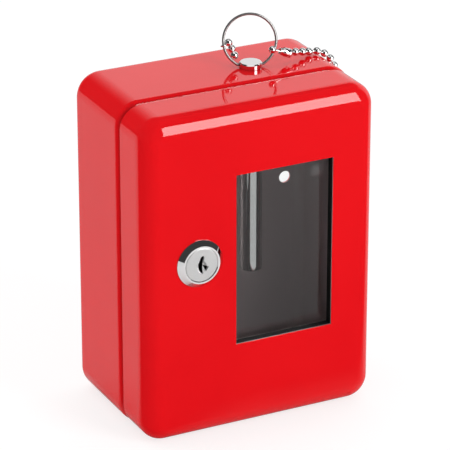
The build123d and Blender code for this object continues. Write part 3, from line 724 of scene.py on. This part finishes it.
def keyCutter():
    # the slot as a grid closed round its section: across at each height, from front to back
    right, left = keyOutline()
    front, back = plug["front"] - plug["ahead"], plug["front"] + plug["keyDepth"]
    corners = ((right, front), (left, front), (left, back), (right, back))
    grid = np.stack([inDepth(x, y, z) for (x, z), y in corners], axis=1)
    ends = [np.repeat(grid[i].mean(axis=0)[None], len(corners), 0)[None] for i in (0, -1)]
    return closedMesh("keyCutter", np.concatenate([ends[0], grid, ends[1]]) * mm, "satinNickel")


def dishCutter():
    # an oval bowl: from the face's front in to its floor
    turn = fullTurn(plug["dishAround"])
    x, z = plug["x"] + plug["dishAt"][0], plug["z"] + plug["dishAt"][1]
    ahead, radius, depth = plug["ahead"], plug["dishRadius"], plug["dishDepth"]
    rows = ((-ahead, 0), (-ahead, radius + ahead), (0, radius), (depth, plug["dishFloor"]), (depth, 0))
    return closedMesh("dishCutter", np.stack([
        inDepth(x + r * plug["dishOval"] * np.cos(turn), plug["front"] + y, z + r * np.sin(turn))
        for y, r in rows]) * mm, "satinNickel")


def makePlug():
    # barrel, seat and square end, turned round y: each row has its y, its radius and whether it is square,
    # where a circle's points are pushed out to the square round it
    front, radius, seat, square = plug["front"], plug["radius"], plug["seat"], plug["square"]
    y, r, squared = np.array([
        (front, 0, 0), (front, radius * plug["faceShare"], 0), (front, radius - plug["edge"], 0),
        (front + plug["edge"], radius, 0), (plug["barrelBack"], radius, 0), (plug["barrelBack"], seat, 0),
        (plug["seatBack"], seat, 0), (plug["seatBack"], square, 1), (plug["back"], square, 1),
        (plug["back"], 0, 1)]).T[:, :, None]
    angle = fullTurn(plug["around"])
    outward = 1 / np.maximum(np.abs(np.cos(angle)), np.abs(np.sin(angle)))
    distance = r * (1 + squared * (outward - 1))
    grid = np.stack([plug["x"] + distance * np.cos(angle), np.repeat(y, plug["around"], 1),
                     plug["z"] + distance * np.sin(angle)], axis=-1)
    body = closedMesh("lockPlug", grid * mm, "satinNickel")
    groove = [(plug["x"] + x, plug["z"] + z) for x, z in plug["groove"]]
    carve(body, [dishCutter(), keyCutter(),
                 prism("grooveCutter", groove, front - plug["ahead"], front + plug["grooveDepth"])])
    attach(body, "lock")
    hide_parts("lock_plug")


makePlug()
print("plug done")

# case: the same pan with a fuller rim
pan = {"lip": 8.5, "lipCorner": 3.5, "faceInset": 20.0, "leastCorner": 0.05, "cornerSteps": 16,
       "sideSteps": 24, "roundSteps": 9,
       # wall holes: how far from the middle, their radius and points round, and the y of the cut's two ends
       "holes": 50.0, "holeRadius": 3.0, "holeSteps": 48, "holeFrom": -3, "holeTo": 2}


def panLoop(inset, y, radius):
    # a rounded rectangle in x and z: four quarter circles, their ends joined by straight runs that carry
    # a few points each
    radius = max(radius, pan["leastCorner"])
    halfX = caseForm["halfWidth"] - inset - radius
    halfZ = caseForm["halfHeight"] - inset - radius
    quarter = np.linspace(0, np.pi / 2, pan["cornerSteps"])
    corners = []
    for k, (sx, sz) in enumerate(((1, 1), (-1, 1), (-1, -1), (1, -1))):
        angle = quarter + k * np.pi / 2
        corners.append(np.stack([sx * halfX + radius * np.cos(angle),
                                 sz * halfZ + radius * np.sin(angle)], axis=1))
    share = np.linspace(0, 1, pan["sideSteps"] + 2)[1:-1, None]
    loop = []
    for corner, following in zip(corners, corners[1:] + corners[:1]):
        loop.extend([corner, corner[-1] + (following[0] - corner[-1]) * share])
    x, z = np.concatenate(loop).T
    return inDepth(x, y, z + box["middle"])


def roundOver(inset, y, radius, start, end):
    # (inset, y) places on a quarter circle of the section
    angle = np.radians(np.linspace(start, end, pan["roundSteps"]))
    return [(inset - radius * math.cos(a), y + radius * math.sin(a)) for a in angle]


def makeCase():
    # the section from the back's middle out round the rim to the lip's edge, and back along the inside
    sheet, front, back, rim = box["sheet"], caseForm["front"], caseForm["backRound"], caseForm["frontRound"]
    face, lip = pan["faceInset"], pan["lip"]
    section = ([(face, 0.0)] + roundOver(back, -back, back, 90, 0) + roundOver(rim, front + rim, rim, 0, -90)
               + [(lip, front), (lip, front + sheet)] + roundOver(rim, front + rim, rim - sheet, -90, 0)
               + roundOver(back, -back, back - sheet, 0, 90) + [(face, -sheet)])
    loops = [panLoop(inset, y, pan["lipCorner"] if inset == lip else caseForm["corner"] - inset)
             for inset, y in section]
    first, last = (np.repeat([[0, y, box["middle"]]], len(loops[0]), 0) for y in (0.0, -sheet))
    shell = closedMesh("caseShell", np.stack([first, *loops, last]) * mm, "casePaint")
    turn = fullTurn(pan["holeSteps"])
    circle = pan["holeRadius"] * np.stack([np.cos(turn), np.sin(turn)], axis=1)
    carve(shell, [prism("holeCutter", circle + (side * pan["holes"], 0), pan["holeFrom"], pan["holeTo"])
                  for side in (-1, 1)])
    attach(shell, "case")
    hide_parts("case_shell")


makeCase()
print("case done")

# floor, surroundings and lamps, in metres
studio = {
    # floor: its size and colour, its greys for soft reflections in front of and behind the object with the
    # lines between the two, and how white it is to the camera
    "floorSize": 6.0, "floorColour": 0.8, "frontFloor": 0.03, "backFloor": 0.66,
    "behindBox": (-0.11, -0.07), "leftSlope": 0.7, "leftOfBox": (-0.12, -0.09),
    "cameraWhite": 1.2, "cameraShare": 0.62,
    # light on surfaces, by direction: from in front, from behind, and what the low left adds
    "front": 0.38, "back": 1.22, "backFrom": (-0.1, 0.1), "left": 0.55, "leftFrom": (-0.6, 0.1),
    "leftTop": (0.2, 0.7),
    # what reflections find: a white backdrop with its left edge and its top, a ceiling and a dark room
    "backdrop": 0.9, "backdropEdge": (-0.3, 0.5), "backdropTop": (0.57, 0.68), "overhead": (0.84, 0.92),
    "darkRoom": 0.05, "nearZero": 0.001,
}
lamps = {"softBox": {"azimuth": 27, "elevation": 20, "distance": 1.1, "width": 0.47, "height": 1.05,
                     "aim": (0, -0.04, -0.01)},
         "shine": 8.0, "light": 5.6}


def floorShader(graph, place):
    # white to the camera, with the object's shadow kept; for the soft reflections of paint it is dark in
    # front of the box, and for the mirror reflections of chrome it is pale everywhere
    rays = graph.make("ShaderNodeLightPath")
    x, y, _ = graph.axes(place)
    behind = graph.smooth(y, *studio["behindBox"]) \
        * graph.smooth(y + studio["leftSlope"] * x, *studio["leftOfBox"])
    soft = rays["Is Glossy Ray"] * (1 - rays["Is Singular Ray"])
    shown = graph.mixColour(behind, grey(studio["frontFloor"]), grey(studio["backFloor"]))
    seen = graph.mixColour(soft, grey(studio["floorColour"]), shown)
    lit = graph.make("ShaderNodeBsdfDiffuse", None, {"Color": seen})["BSDF"]
    white = graph.make("ShaderNodeEmission", None, {"Color": grey(1), "Strength": studio["cameraWhite"]})
    share = studio["cameraShare"] * (rays["Is Camera Ray"] + rays["Is Transmission Ray"])
    return graph.make("ShaderNodeMixShader", None, {0: share, 1: lit, 2: white["Emission"]})["Shader"]


def makeFloor():
    half, level = studio["floorSize"] / 2, box["bottom"] * mm
    mesh = bpy.data.meshes.new("floor")
    mesh.from_pydata([(-half, -half, level), (half, -half, level), (half, half, level), (-half, half, level)],
                     [], [(0, 1, 2, 3)])
    mesh.materials.append(newMaterial("paleFloor", floorShader))
    floor = bpy.data.objects.new("floor", mesh)
    bpy.context.scene.collection.objects.link(floor)


def makeWorld():
    # white to the camera and through glass; its light comes mostly from behind and from the low left;
    # reflections find a low white backdrop at the back right and a dark room elsewhere, and those of
    # polished chrome also a bright ceiling
    world = bpy.data.worlds.new("surroundings")
    bpy.context.scene.world = world
    world.use_nodes = True
    graph = Graph(world.node_tree)
    rays = graph.make("ShaderNodeLightPath")
    x, y, z = graph.axes(graph.make("ShaderNodeTexCoord")["Generated"])
    sideways = graph.smooth(x / y.atLeast(studio["nearZero"]), *studio["backdropEdge"])
    backdrop = sideways * y.above(0.0) * (1 - graph.smooth(z, *studio["backdropTop"]))
    overhead = graph.smooth(z, *studio["overhead"]) * rays["Is Singular Ray"]
    glossy = studio["darkRoom"] + (studio["backdrop"] - studio["darkRoom"]) * backdrop + overhead
    behind = graph.smooth(y, *studio["backFrom"])
    left = (1 - graph.smooth(x, *studio["leftFrom"])) * (1 - graph.smooth(z, *studio["leftTop"]))
    ambient = studio["front"] + (studio["back"] - studio["front"]) * behind + studio["left"] * left
    level = rays["Is Glossy Ray"] * glossy + (1 - rays["Is Glossy Ray"]) * ambient
    seen = (rays["Is Camera Ray"] + rays["Is Transmission Ray"]).above(0.5)
    background = graph.make("ShaderNodeBackground", None,
                            {"Color": grey(1), "Strength": level * (1 - seen) + seen})
    graph.make("ShaderNodeOutputWorld", None, {"Surface": background["Background"]})


def areaLamp(name, radiance, azimuth, elevation, distance, width, height, aim):
    data = bpy.data.lights.new(name, "AREA")
    data.shape, data.size, data.size_y = "RECTANGLE", width, height
    data.energy = radiance * math.pi * width * height
    lamp = bpy.data.objects.new(name, data)
    bpy.context.scene.collection.objects.link(lamp)
    heading = directionFrom(azimuth, elevation)
    lamp.location = Vector(aim) + heading * distance
    lamp.rotation_mode = "QUATERNION"
    lamp.rotation_quaternion = (-heading).to_track_quat("-Z", "Y")
    lamp.visible_camera = False
    return lamp


makeFloor()
makeWorld()
# one soft box as two lamps: what reflections show of it, and what it lights
areaLamp("shineLamp", lamps["shine"], **lamps["softBox"]).visible_diffuse = False
areaLamp("lightLamp", lamps["light"], **lamps["softBox"]).visible_glossy = False
bpy.context.scene.view_settings.view_transform = "Standard"
print("studio done")
